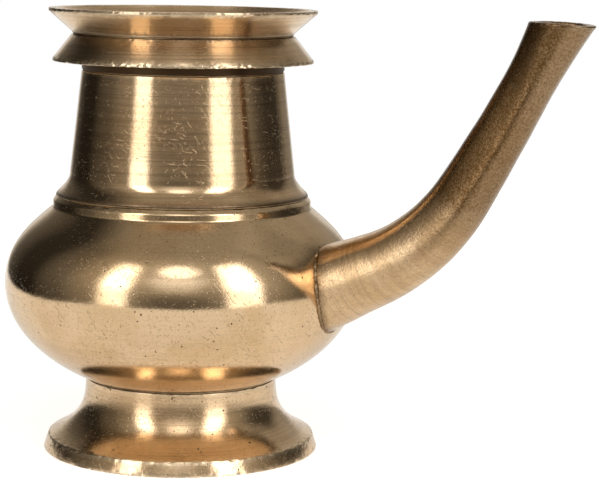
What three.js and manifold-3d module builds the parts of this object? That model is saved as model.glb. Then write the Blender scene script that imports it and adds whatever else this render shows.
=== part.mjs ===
// A brass water pot with a pedestal foot, a round belly, a tall neck, a flared mouth and a long curved spout.
// It is made the way such a pot is made: turned castings that register in each other and are brazed together.
// Millimetres, +Z up. The spout points along +X, and the origin is the middle of the footprint on the floor.
import * as THREE from 'three';
import { mergeVertices } from 'three/addons/utils/BufferGeometryUtils.js';
import Module from 'manifold-3d';

const wasm = await Module();
wasm.setup();

// Joints between the castings
const FIT_GAP = 0.3; // clearance between a spigot and its socket
const BRAZE_THICKNESS = 0.5; // filler between two seats
const BRAZE_RECESS = 0.3; // how far the filler lies inside the turned faces
const SPIGOT_DEPTH = 2.5; // how far a spigot enters its socket
const SPIGOT_WALL = 1.6;

// Foot: a hollow pedestal that stands on a ring
const FOOT_WAIST_RADIUS = 30.5;
const FOOT_FLARE = 13.5; // how far the rim stands out beyond the waist
const FOOT_HEIGHT = 22.9;
const FOOT_RIM_HEIGHT = 4.6;
const FOOT_RIM_LEAN = 1.5; // how far the rim's face leans inwards over its height
const FOOT_RING_WIDTH = 5.5; // width of the ring that it stands on
const FOOT_WALL = 2.5;
const FOOT_SEAT_WIDTH = 6;
const FOOT_LEDGE = 2.8; // thickness of the ledge under the seat
const FOOT_UPRIGHT = 7.8; // how far down from the seat the cove stays steep
const FOOT_SPREAD = 11; // how far in from the rim the cove stays flat
const FOOT_SPREAD_RISE = 4.9; // how much it climbs over that distance

// Belly: a round bowl that closes in to a collar at the shoulder
const BELLY_RADIUS = 56.6;
const BELLY_OVERHANG = 0.3; // how far its seat stands out over the foot's
const BELLY_LOWER_HEIGHT = 30.1; // from the seat to the widest point
const BELLY_UPPER_HEIGHT = 24.3; // from the widest point to the collar
const BELLY_WALL = 2.2;
const BELLY_FLOOR = 2.5;
const BELLY_BOSS_WALL = 3.5; // ring under the floor that drops into the foot
const BELLY_LOWER_SWELL = 17.2; // how far below the widest point the side stays steep
const BELLY_UPPER_SWELL = 13; // how far above it the side stays steep
const BELLY_UNDERSIDE = 7.8; // how far out from the seat the underside stays flat
const BELLY_UNDERSIDE_RISE = 3.4;
const BELLY_SHOULDER = 6.2; // how far out from the collar the shoulder stays flat
const BELLY_SHOULDER_DROP = 4.5;
const COLLAR_HEIGHT = 3.4;
const COLLAR_SEAT_WIDTH = 5.2;
const COLLAR_LEAN = 1.4; // how far the collar's face leans inwards over its height

// Neck: a tapered tube with a small coved flange at its bottom
const NECK_HEIGHT = 38.7;
const NECK_TOP_RADIUS = 31.95;
const NECK_BOTTOM_RADIUS = 35.5;
const NECK_WALL = 2.3;
const NECK_COVE_HEIGHT = 6.6;
const NECK_COVE_EASE = 2.6; // how far the cove runs on along the wall and along the flange
const NECK_FLANGE_EDGE = 0.4;

// Drip flange: a ring with a short sleeve, whose skirt slopes down and outwards
const DRIP_SLEEVE_HEIGHT = 2.5;
const DRIP_SKIRT_HEIGHT = 8.3;
const DRIP_SKIRT_REACH = 6.2; // how far the skirt stands out beyond the waist
const DRIP_EDGE = 0.8;
const DRIP_UNDERCUT = 1.2;
const DRIP_LEDGE = 2.65; // ledge that the cone's spigot stands over
const DRIP_SEAT_WIDTH = 4.5;

// Mouth cone: the flared lip above the waist
const WAIST_BAND = 0.4;
const CONE_HEIGHT = 7.8;
const CONE_THROAT_DEPTH = 9; // from the lip to the straight part of the throat
const CONE_THROAT_EASE = 3; // how far the funnel's curve runs on up from the throat
const LIP_FLARE = 7.3; // how far the lip stands out beyond the waist
const LIP_EDGE = 1;
const LIP_WIDTH = 2;

// Spout: a tapered tube that leaves the belly, bends upwards and ends in a slight trumpet
const SPOUT_ROOT_INSET = 11.9; // from the belly's widest radius in to the start of the centre line
const SPOUT_ROOT_DROP = 1; // the start lies this far below the belly's widest point
const SPOUT_ROOT_ANGLE = 23.6; // degrees above level
const SPOUT_STRAIGHT = 25.5;
const SPOUT_BEND_RADIUS = 64.4;
const SPOUT_BEND_END_ANGLE = 58.2;
const SPOUT_UPPER_LENGTH = 58.7;
const SPOUT_TIP_ANGLE = 63.6;
const SPOUT_ROOT_RADIUS = 13.6;
const SPOUT_THROAT_RADIUS = 7.2;
const SPOUT_TRUMPET = 1.6; // how much the tip opens out
const SPOUT_TRUMPET_LENGTH = 24.6;
const SPOUT_WALL = 1.9;
const SPOUT_TIP_TILT = 2.8; // degrees that the cut at the tip leans outwards
const SPOUT_BEAD_RADIUS = 1.6;

// Fineness of the round forms
const TURNED_SIDES = 48;
const SPOUT_SIDES = 28;
const BEAD_SIDES = 8;
const BEAD_STEPS = 40;
const CURVE_STEPS = 9;
const COVE_STEPS = 6;
const SPOUT_STEPS = 18;
const JOINT_HALVINGS = 24; // times that the search for the spout's joint halves its step
const SAME_POINT = 0.001; // corners closer than this are one corner

// Heights of the seats above the floor
const BELLY_SEAT = FOOT_HEIGHT + BRAZE_THICKNESS;
const BELLY_WIDEST = BELLY_SEAT + BELLY_LOWER_HEIGHT;
const COLLAR_BOTTOM = BELLY_WIDEST + BELLY_UPPER_HEIGHT;
const COLLAR_TOP = COLLAR_BOTTOM + COLLAR_HEIGHT;
const NECK_BOTTOM = COLLAR_TOP + BRAZE_THICKNESS;
const NECK_TOP = NECK_BOTTOM + NECK_HEIGHT;
const DRIP_BOTTOM = NECK_TOP + BRAZE_THICKNESS;
const DRIP_SKIRT_BOTTOM = DRIP_BOTTOM + DRIP_SLEEVE_HEIGHT;
const DRIP_TOP = DRIP_SKIRT_BOTTOM + DRIP_SKIRT_HEIGHT;
const CONE_BOTTOM = DRIP_TOP + BRAZE_THICKNESS;
const POT_TOP = CONE_BOTTOM + CONE_HEIGHT;

// Radii that one casting takes from another
const FOOT_SOCKET = FOOT_WAIST_RADIUS - FOOT_SEAT_WIDTH;
const BELLY_SEAT_RADIUS = FOOT_WAIST_RADIUS + BELLY_OVERHANG;
const BELLY_MOUTH = NECK_BOTTOM_RADIUS - NECK_WALL + SPIGOT_WALL + FIT_GAP;
const COLLAR_TOP_RADIUS = BELLY_MOUTH + COLLAR_SEAT_WIDTH;
const COLLAR_RADIUS = COLLAR_TOP_RADIUS + COLLAR_LEAN;
const NECK_SOCKET = NECK_TOP_RADIUS - NECK_WALL;
const DRIP_BORE = NECK_SOCKET - FIT_GAP - SPIGOT_WALL;
const DRIP_SOCKET = DRIP_BORE + DRIP_LEDGE;
const WAIST_RADIUS = DRIP_SOCKET + DRIP_SEAT_WIDTH;

const radians = THREE.MathUtils.degToRad;

// The start of a closed outline in the plane of radius and height, drawn with its solid side on the left.
function outline(radius, height) {
  const path = new THREE.Path();
  path.moveTo(radius, height);
  return path;
}

// Points of an outline, with every curve in it cut into the same number of steps.
function outlinePoints(path, steps) {
  const points = [];
  for (const curve of path.curves) {
    const cuts = curve.isLineCurve ? 1 : steps;
    points.push(...curve.getPoints(cuts).slice(0, -1));
  }
  points.push(path.currentPoint.clone());
  return points;
}

// A turned solid: the outline spun about the Z axis.
function turned(points) {
  return new THREE.LatheGeometry(points, TURNED_SIDES).rotateX(Math.PI / 2);
}

// A flat ring of filler between two seats.
function washer(innerRadius, outerRadius, bottom) {
  const ring = outline(innerRadius, bottom);
  ring.lineTo(outerRadius, bottom);
  ring.lineTo(outerRadius, bottom + BRAZE_THICKNESS);
  ring.lineTo(innerRadius, bottom + BRAZE_THICKNESS);
  ring.lineTo(innerRadius, bottom);
  return turned(outlinePoints(ring, 1));
}

// The solid that a closed geometry bounds.
function solidOf(geometry) {
  const bare = geometry.clone();
  bare.deleteAttribute('normal');
  bare.deleteAttribute('uv');
  const merged = mergeVertices(bare, SAME_POINT);
  const corners = merged.index.array;
  const kept = [];
  for (let i = 0; i < corners.length; i += 3) {
    const [a, b, c] = corners.slice(i, i + 3);
    if (a !== b && b !== c && c !== a) kept.push(a, b, c);
  }
  const vertProperties = new Float32Array(merged.attributes.position.array);
  const triVerts = new Uint32Array(kept);
  return new wasm.Manifold(new wasm.Mesh({ numProp: 3, vertProperties, triVerts }));
}

// The geometry of a solid.
function geometryOf(solid) {
  const mesh = solid.getMesh();
  const geometry = new THREE.BufferGeometry();
  geometry.setAttribute('position', new THREE.BufferAttribute(mesh.vertProperties, mesh.numProp));
  geometry.setIndex(new THREE.BufferAttribute(mesh.triVerts, 1));
  geometry.computeVertexNormals();
  return geometry;
}

// Foot: the rim's face, the cove up to the seat, the socket and the hollow underneath.
function footGeometry() {
  const footRadius = FOOT_WAIST_RADIUS + FOOT_FLARE;
  const rimTop = footRadius - FOOT_RIM_LEAN;
  const hollowTop = FOOT_HEIGHT - FOOT_LEDGE;
  const hollowWaist = FOOT_WAIST_RADIUS - FOOT_WALL;
  const ringInside = footRadius - FOOT_RING_WIDTH;
  const path = outline(ringInside, 0);
  path.lineTo(footRadius, 0);
  path.lineTo(rimTop, FOOT_RIM_HEIGHT);
  path.bezierCurveTo(
    rimTop - FOOT_SPREAD, FOOT_RIM_HEIGHT + FOOT_SPREAD_RISE,
    FOOT_WAIST_RADIUS, FOOT_HEIGHT - FOOT_UPRIGHT,
    FOOT_WAIST_RADIUS, FOOT_HEIGHT,
  );
  path.lineTo(FOOT_SOCKET, FOOT_HEIGHT);
  path.lineTo(FOOT_SOCKET, hollowTop);
  path.lineTo(hollowWaist, hollowTop);
  path.bezierCurveTo(
    hollowWaist, hollowTop - FOOT_UPRIGHT,
    ringInside - FOOT_SPREAD + FOOT_WALL, FOOT_SPREAD_RISE + FOOT_WALL,
    ringInside, 0,
  );
  return turned(outlinePoints(path, CURVE_STEPS));
}

// Outer face of the belly from its seat up to the collar. A grown one lies that much further out all round.
function drawBellySide(path, grown) {
  const widest = BELLY_RADIUS + grown;
  path.bezierCurveTo(
    BELLY_SEAT_RADIUS + BELLY_UNDERSIDE, BELLY_SEAT + BELLY_UNDERSIDE_RISE - grown,
    widest, BELLY_WIDEST - BELLY_LOWER_SWELL,
    widest, BELLY_WIDEST,
  );
  path.bezierCurveTo(
    widest, BELLY_WIDEST + BELLY_UPPER_SWELL,
    COLLAR_RADIUS + BELLY_SHOULDER, COLLAR_BOTTOM - BELLY_SHOULDER_DROP + grown,
    COLLAR_RADIUS, COLLAR_BOTTOM + grown,
  );
}

// The whole space inside the belly's outer face, as a solid for cutting.
function bellyEnvelope(grown) {
  const path = outline(0, BELLY_SEAT - grown);
  path.lineTo(BELLY_SEAT_RADIUS, BELLY_SEAT - grown);
  drawBellySide(path, grown);
  path.lineTo(0, COLLAR_BOTTOM + grown);
  return outlinePoints(path, CURVE_STEPS);
}

// Belly: floor with its boss, outer face, collar, mouth and the hollow inside.
function bellyGeometry() {
  const bossRadius = FOOT_SOCKET - FIT_GAP;
  const bossBottom = FOOT_HEIGHT - SPIGOT_DEPTH;
  const floorTop = FOOT_HEIGHT + BELLY_FLOOR;
  const insideRadius = BELLY_RADIUS - BELLY_WALL;
  const mouthBottom = COLLAR_BOTTOM - BELLY_WALL;
  const path = outline(0, FOOT_HEIGHT);
  path.lineTo(bossRadius - BELLY_BOSS_WALL, FOOT_HEIGHT);
  path.lineTo(bossRadius - BELLY_BOSS_WALL, bossBottom);
  path.lineTo(bossRadius, bossBottom);
  path.lineTo(bossRadius, BELLY_SEAT);
  path.lineTo(BELLY_SEAT_RADIUS, BELLY_SEAT);
  drawBellySide(path, 0);
  path.lineTo(COLLAR_TOP_RADIUS, COLLAR_TOP);
  path.lineTo(BELLY_MOUTH, COLLAR_TOP);
  path.lineTo(BELLY_MOUTH, mouthBottom);
  path.bezierCurveTo(
    COLLAR_RADIUS + BELLY_SHOULDER - BELLY_WALL, mouthBottom,
    insideRadius, BELLY_WIDEST + BELLY_UPPER_SWELL - BELLY_WALL / 2,
    insideRadius, BELLY_WIDEST,
  );
  path.bezierCurveTo(
    insideRadius, BELLY_WIDEST - BELLY_LOWER_SWELL,
    BELLY_SEAT_RADIUS + BELLY_UNDERSIDE, floorTop,
    0, floorTop,
  );
  return turned(outlinePoints(path, CURVE_STEPS));
}

// Neck: the spigot that enters the belly, the flange with its cove, the tapered wall and the socket on top.
function neckGeometry() {
  const spigotRadius = BELLY_MOUTH - FIT_GAP;
  const boreBottom = spigotRadius - SPIGOT_WALL;
  const coveBottom = NECK_BOTTOM + NECK_FLANGE_EDGE;
  const coveTop = coveBottom + NECK_COVE_HEIGHT;
  const path = outline(boreBottom, NECK_BOTTOM - SPIGOT_DEPTH);
  path.lineTo(spigotRadius, NECK_BOTTOM - SPIGOT_DEPTH);
  path.lineTo(spigotRadius, NECK_BOTTOM);
  path.lineTo(COLLAR_TOP_RADIUS, NECK_BOTTOM);
  path.lineTo(COLLAR_TOP_RADIUS, coveBottom);
  path.bezierCurveTo(
    COLLAR_TOP_RADIUS - NECK_COVE_EASE, coveBottom + NECK_COVE_EASE,
    NECK_BOTTOM_RADIUS, coveTop - NECK_COVE_EASE,
    NECK_BOTTOM_RADIUS, coveTop,
  );
  path.lineTo(NECK_TOP_RADIUS, NECK_TOP);
  path.lineTo(NECK_SOCKET, NECK_TOP);
  path.lineTo(NECK_SOCKET, NECK_TOP - SPIGOT_DEPTH - FIT_GAP);
  path.lineTo(boreBottom, coveTop);
  path.lineTo(boreBottom, NECK_BOTTOM - SPIGOT_DEPTH);
  return turned(outlinePoints(path, COVE_STEPS));
}

// Drip flange: the spigot that enters the neck, the short sleeve, the undercut skirt and the socket for the cone.
function dripFlangeGeometry() {
  const spigotRadius = NECK_SOCKET - FIT_GAP;
  const seatRadius = WAIST_RADIUS + BRAZE_RECESS;
  const skirtRadius = WAIST_RADIUS + DRIP_SKIRT_REACH;
  const socketBottom = DRIP_TOP - SPIGOT_DEPTH - FIT_GAP;
  const path = outline(DRIP_BORE, DRIP_BOTTOM - SPIGOT_DEPTH);
  path.lineTo(spigotRadius, DRIP_BOTTOM - SPIGOT_DEPTH);
  path.lineTo(spigotRadius, DRIP_BOTTOM);
  path.lineTo(NECK_TOP_RADIUS, DRIP_BOTTOM);
  path.lineTo(NECK_TOP_RADIUS, DRIP_SKIRT_BOTTOM + DRIP_UNDERCUT);
  path.lineTo(skirtRadius, DRIP_SKIRT_BOTTOM);
  path.lineTo(skirtRadius, DRIP_SKIRT_BOTTOM + DRIP_EDGE);
  path.lineTo(seatRadius, DRIP_TOP);
  path.lineTo(DRIP_SOCKET, DRIP_TOP);
  path.lineTo(DRIP_SOCKET, socketBottom);
  path.lineTo(DRIP_BORE, socketBottom);
  path.lineTo(DRIP_BORE, DRIP_BOTTOM - SPIGOT_DEPTH);
  return turned(outlinePoints(path, 1));
}

// Mouth cone: the spigot that enters the drip flange, the waist band, the flare and the flat lip.
function mouthConeGeometry() {
  const spigotRadius = DRIP_SOCKET - FIT_GAP;
  const spigotBottom = DRIP_TOP - SPIGOT_DEPTH;
  const throatRadius = spigotRadius - SPIGOT_WALL;
  const throatTop = POT_TOP - CONE_THROAT_DEPTH;
  const lipRadius = WAIST_RADIUS + LIP_FLARE;
  const path = outline(throatRadius, spigotBottom);
  path.lineTo(spigotRadius, spigotBottom);
  path.lineTo(spigotRadius, CONE_BOTTOM);
  path.lineTo(WAIST_RADIUS, CONE_BOTTOM);
  path.lineTo(WAIST_RADIUS, CONE_BOTTOM + WAIST_BAND);
  path.lineTo(lipRadius, POT_TOP - LIP_EDGE);
  path.lineTo(lipRadius, POT_TOP);
  path.lineTo(lipRadius - LIP_WIDTH, POT_TOP);
  path.bezierCurveTo(
    WAIST_RADIUS, POT_TOP - LIP_FLARE + LIP_WIDTH,
    throatRadius, throatTop + CONE_THROAT_EASE,
    throatRadius, throatTop,
  );
  path.lineTo(throatRadius, spigotBottom);
  return turned(outlinePoints(path, COVE_STEPS));
}

// Lengths of the spout's centre line: a straight run, the bend, and a long gentle bend up to the tip.
const BEND_ANGLE = radians(SPOUT_BEND_END_ANGLE - SPOUT_ROOT_ANGLE);
const BEND_LENGTH = SPOUT_BEND_RADIUS * BEND_ANGLE;
const UPPER_ANGLE = radians(SPOUT_TIP_ANGLE - SPOUT_BEND_END_ANGLE);
const SPOUT_LENGTH = SPOUT_STRAIGHT + BEND_LENGTH + SPOUT_UPPER_LENGTH;

// Where a run of constant curvature ends.
function runEnd(start, length, turn) {
  const middle = start.heading + turn / 2;
  const chord = turn === 0 ? length : (length * Math.sin(turn / 2)) / (turn / 2);
  return {
    x: start.x + chord * Math.cos(middle),
    z: start.z + chord * Math.sin(middle),
    heading: start.heading + turn,
  };
}

// Place and heading of the spout's centre line at a distance along it. Past its ends it runs on straight.
function spoutCentre(distance) {
  const root = {
    x: BELLY_RADIUS - SPOUT_ROOT_INSET,
    z: BELLY_WIDEST - SPOUT_ROOT_DROP,
    heading: radians(SPOUT_ROOT_ANGLE),
  };
  if (distance <= SPOUT_STRAIGHT) return runEnd(root, distance, 0);
  const bendStart = runEnd(root, SPOUT_STRAIGHT, 0);
  const inBend = Math.min(distance - SPOUT_STRAIGHT, BEND_LENGTH);
  const bendEnd = runEnd(bendStart, inBend, (BEND_ANGLE * inBend) / BEND_LENGTH);
  if (distance <= SPOUT_STRAIGHT + BEND_LENGTH) return bendEnd;
  const inUpper = Math.min(distance - SPOUT_STRAIGHT - BEND_LENGTH, SPOUT_UPPER_LENGTH);
  const upperEnd = runEnd(bendEnd, inUpper, (UPPER_ANGLE * inUpper) / SPOUT_UPPER_LENGTH);
  if (distance <= SPOUT_LENGTH) return upperEnd;
  return runEnd(upperEnd, distance - SPOUT_LENGTH, 0);
}

// Outer radius of the spout at a distance along it: a taper that eases out, then the trumpet.
function spoutRadius(distance) {
  const left = 1 - Math.min(distance / SPOUT_LENGTH, 1);
  const opening = Math.max(distance - (SPOUT_LENGTH - SPOUT_TRUMPET_LENGTH), 0) / SPOUT_TRUMPET_LENGTH;
  const taper = (SPOUT_ROOT_RADIUS - SPOUT_THROAT_RADIUS) * left * left;
  return SPOUT_THROAT_RADIUS + taper + SPOUT_TRUMPET * opening * opening;
}

// Bends a straight geometry along the spout: its Y is the distance along the centre line.
function bentAlongSpout(geometry) {
  const position = geometry.attributes.position;
  for (let i = 0; i < position.count; i += 1) {
    const across = position.getX(i);
    const side = position.getZ(i);
    const { x, z, heading } = spoutCentre(position.getY(i));
    position.setXYZ(i, x - across * Math.sin(heading), side, z + across * Math.cos(heading));
  }
  return geometry;
}

// A solid rod along the spout, thicker than the spout's outer face by an amount that may be negative.
function spoutRod(from, to, grown) {
  const points = [new THREE.Vector2(0, from)];
  for (let i = 0; i <= SPOUT_STEPS; i += 1) {
    const distance = from + ((to - from) * i) / SPOUT_STEPS;
    points.push(new THREE.Vector2(spoutRadius(Math.max(distance, 0)) + grown, distance));
  }
  points.push(new THREE.Vector2(0, to));
  return solidOf(bentAlongSpout(new THREE.LatheGeometry(points, SPOUT_SIDES)));
}

// Everything above the slanting cut at the spout's tip.
function aboveTip() {
  const tip = spoutCentre(SPOUT_LENGTH);
  const size = SPOUT_LENGTH / 2;
  const block = new THREE.BoxGeometry(size, size, size);
  block.translate(0, 0, size / 2);
  block.rotateY(radians(SPOUT_TIP_TILT));
  block.translate(tip.x, 0, tip.z);
  return solidOf(block);
}

// Spout: the bent tube, cut to a saddle where it meets the belly and to a slant at its tip.
function spoutGeometry() {
  const blankEnd = SPOUT_LENGTH + SPOUT_THROAT_RADIUS;
  const tube = spoutRod(-SPOUT_ROOT_RADIUS, blankEnd, 0);
  const bore = spoutRod(-2 * SPOUT_ROOT_RADIUS, blankEnd + SPOUT_WALL, -SPOUT_WALL);
  const belly = solidOf(turned(bellyEnvelope(FIT_GAP)));
  return geometryOf(tube.subtract(bore).subtract(belly).subtract(aboveTip()));
}

// The belly with the hole that leads into the spout.
function piercedBellyGeometry() {
  const bore = spoutRod(-SPOUT_ROOT_RADIUS, SPOUT_STRAIGHT, -SPOUT_WALL);
  return geometryOf(solidOf(bellyGeometry()).subtract(bore));
}

// Outer radius of the belly at a height.
function bellyRadiusAt(height) {
  const side = bellyEnvelope(0).slice(1, -1);
  for (let i = 1; i < side.length; i += 1) {
    const [low, high] = [side[i - 1], side[i]];
    if (height <= high.y) return low.x + ((high.x - low.x) * (height - low.y)) / (high.y - low.y);
  }
  return side[side.length - 1].x;
}

// The point, at an angle round the spout, where its outer face leaves the belly's.
function spoutJointPoint(angle) {
  let [inside, outside] = [0, SPOUT_LENGTH / 2];
  const point = new THREE.Vector3();
  for (let i = 0; i < JOINT_HALVINGS; i += 1) {
    const distance = (inside + outside) / 2;
    const { x, z, heading } = spoutCentre(distance);
    const across = spoutRadius(distance) * Math.cos(angle);
    const side = spoutRadius(distance) * Math.sin(angle);
    point.set(x - across * Math.sin(heading), side, z + across * Math.cos(heading));
    if (Math.hypot(point.x, point.y) < bellyRadiusAt(point.z)) inside = distance;
    else outside = distance;
  }
  return point;
}

// Filler bead round the root of the spout: a ring laid along the joint, cut clear of the belly and the spout.
function spoutBeadGeometry() {
  const ring = new THREE.TorusGeometry(SPOUT_ROOT_RADIUS, SPOUT_BEAD_RADIUS, BEAD_SIDES, BEAD_STEPS);
  const heading = radians(SPOUT_ROOT_ANGLE);
  const along = new THREE.Vector3(Math.cos(heading), 0, Math.sin(heading));
  const up = new THREE.Vector3(-Math.sin(heading), 0, Math.cos(heading));
  const sideways = new THREE.Vector3(0, 1, 0);
  const position = ring.attributes.position;
  for (let i = 0; i < position.count; i += 1) {
    const angle = Math.atan2(position.getY(i), position.getX(i));
    const outwards = Math.hypot(position.getX(i), position.getY(i)) - SPOUT_ROOT_RADIUS;
    const point = spoutJointPoint(angle);
    point.addScaledVector(up, outwards * Math.cos(angle));
    point.addScaledVector(sideways, outwards * Math.sin(angle));
    point.addScaledVector(along, -position.getZ(i));
    position.setXYZ(i, point.x, point.y, point.z);
  }
  const belly = solidOf(turned(bellyEnvelope(FIT_GAP)));
  const tube = spoutRod(-SPOUT_ROOT_RADIUS, SPOUT_LENGTH / 2, FIT_GAP);
  return geometryOf(solidOf(ring).subtract(belly).subtract(tube));
}

// Finishes: turned brass, the rougher cast brass of the spout, and the darker filler.
const finish = (color, roughness) => new THREE.MeshStandardMaterial({ color, roughness, metalness: 1 });
const turnedBrass = { color: 0xb8935a, roughness: 0.28 };
const polishedBrass = { color: 0xbc9860, roughness: 0.2 };
const castBrass = { color: 0xa17c48, roughness: 0.42 };
const filler = { color: 0x5a4528, roughness: 0.6 };

const pot = new THREE.Group();
pot.name = 'water_pot';

function place(name, geometry, { color, roughness }) {
  const mesh = new THREE.Mesh(geometry, finish(color, roughness));
  mesh.name = name;
  pot.add(mesh);
}

const waistFillerRadius = WAIST_RADIUS - BRAZE_RECESS;
const neckFillerRadius = NECK_TOP_RADIUS - BRAZE_RECESS;
const shoulderFillerRadius = COLLAR_TOP_RADIUS - BRAZE_RECESS;
const footFillerRadius = FOOT_WAIST_RADIUS - BRAZE_RECESS;

place('mouth_cone', mouthConeGeometry(), turnedBrass);
place('waist_braze', washer(DRIP_SOCKET, waistFillerRadius, DRIP_TOP), filler);
place('drip_flange', dripFlangeGeometry(), turnedBrass);
place('neck_braze', washer(NECK_SOCKET, neckFillerRadius, NECK_TOP), filler);
place('neck', neckGeometry(), polishedBrass);
place('shoulder_braze', washer(BELLY_MOUTH, shoulderFillerRadius, COLLAR_TOP), filler);
place('belly', piercedBellyGeometry(), polishedBrass);
place('foot_braze', washer(FOOT_SOCKET, footFillerRadius, FOOT_HEIGHT), filler);
place('foot', footGeometry(), turnedBrass);
place('spout', spoutGeometry(), castBrass);
place('spout_braze', spoutBeadGeometry(), filler);

// The turning axis is moved back along X so that the origin is the middle of the footprint.
const bounds = new THREE.Box3().setFromObject(pot);
pot.position.x = -(bounds.min.x + bounds.max.x) / 2;

export default pot;
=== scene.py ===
"""A brass water pot with a long curved spout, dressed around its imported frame.

The castings are turned, brazed together and left bare: turned brass at the foot and the mouth, polished
brass on the belly and the neck, and filed cast brass on the spout. Sizes of the castings are in millimetres
and angles in degrees. Places in the scene and depths of the finishes are in metres.
"""

import logging
import math
from dataclasses import dataclass, replace
from enum import Enum
from functools import cache, cached_property
from typing import Callable

import bmesh
import bpy
from mathutils import Matrix, Vector, noise
from mathutils.geometry import interpolate_bezier


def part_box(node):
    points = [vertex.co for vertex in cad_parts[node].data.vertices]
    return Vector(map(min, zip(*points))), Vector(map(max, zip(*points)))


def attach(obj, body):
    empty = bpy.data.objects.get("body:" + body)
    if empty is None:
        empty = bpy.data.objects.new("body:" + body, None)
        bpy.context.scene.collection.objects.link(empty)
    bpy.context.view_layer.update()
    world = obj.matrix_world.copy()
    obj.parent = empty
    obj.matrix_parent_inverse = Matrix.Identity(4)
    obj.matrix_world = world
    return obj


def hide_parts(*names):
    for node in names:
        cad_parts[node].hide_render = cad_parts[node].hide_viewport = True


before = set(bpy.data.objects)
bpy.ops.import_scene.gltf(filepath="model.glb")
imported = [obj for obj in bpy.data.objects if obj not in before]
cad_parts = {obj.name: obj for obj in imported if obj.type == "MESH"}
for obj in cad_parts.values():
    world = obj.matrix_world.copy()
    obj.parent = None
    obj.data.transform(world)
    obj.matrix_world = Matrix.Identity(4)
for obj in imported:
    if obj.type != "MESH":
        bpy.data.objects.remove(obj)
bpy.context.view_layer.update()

MM = 0.001
SEAM = 1e-7
BODY = "root"
VECTOR = "NodeSocketVector"
log = logging.getLogger("water_pot")

Colour = tuple[float, float, float]
Pair = tuple[float, float]
Mesh = bmesh.types.BMesh
Piece = bpy.types.Object
Socket = bpy.types.NodeSocket


@cache
def box(node: str) -> tuple[Vector, Vector]:
    """The lowest and highest corner of a node's box."""
    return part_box(node)


def middle(node: str) -> float:
    """The X of the middle of a node's box."""
    low, high = box(node)
    return (low.x + high.x) / 2


def held(value: float, low: float = 0.0) -> float:
    """A value held between a low one and 1."""
    return min(1.0, max(low, value))


AXIS_X = middle("neck")


class Slot(Enum):
    """The record's material slots."""

    TURNED = "turned_brass"
    POLISHED = "polished_brass"
    CAST = "cast_brass"
    FILLER = "braze_filler"


class Ray(Enum):
    """Kinds of ray that the stage tells apart."""

    CAMERA = "Is Camera Ray"
    GLOSSY = "Is Glossy Ray"


# Outlines and meshes


def along(points: list[Vector], distance: float) -> tuple[Vector, int]:
    """The point at a distance along a polyline.

    Args:
        points: The polyline.
        distance: How far from its first point.

    Returns:
        The point, and the index of the first corner beyond it.
    """
    for index in range(1, len(points)):
        gap = (points[index] - points[index - 1]).length
        if distance <= gap:
            return points[index - 1].lerp(points[index], distance / gap), index
        distance -= gap
    return points[-1].copy(), len(points)


def trimmed(points: list[Vector], start: float, end: float) -> list[Vector]:
    """A polyline with a length cut off at each end.

    Args:
        points: The polyline.
        start: The length cut off at its start.
        end: The length cut off at its end.

    Returns:
        The shorter polyline.
    """
    for cut in (start, end):
        if cut > 0:
            first, index = along(points, cut)
            points = [first, *points[index:]]
        points = points[::-1]
    return points


def stepped(points: list[Vector], step: float) -> list[Vector]:
    """A polyline with each straight piece cut into steps no longer than a length.

    Args:
        points: The polyline.
        step: The longest step.

    Returns:
        The finer polyline.
    """
    fine = [points[0]]
    for end in points[1:]:
        start = fine[-1]
        cuts = max(1, math.ceil((end - start).length / step))
        fine += [start.lerp(end, (cut + 1) / cuts) for cut in range(cuts)]
    return fine


@dataclass
class Corner:
    """A corner of an outline: how round it is, how worn, and how much grime and painted shade it gets."""

    place: Vector
    rounding: float = 0.0
    wear: float = 0.0
    grime: float = 0.0


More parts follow.
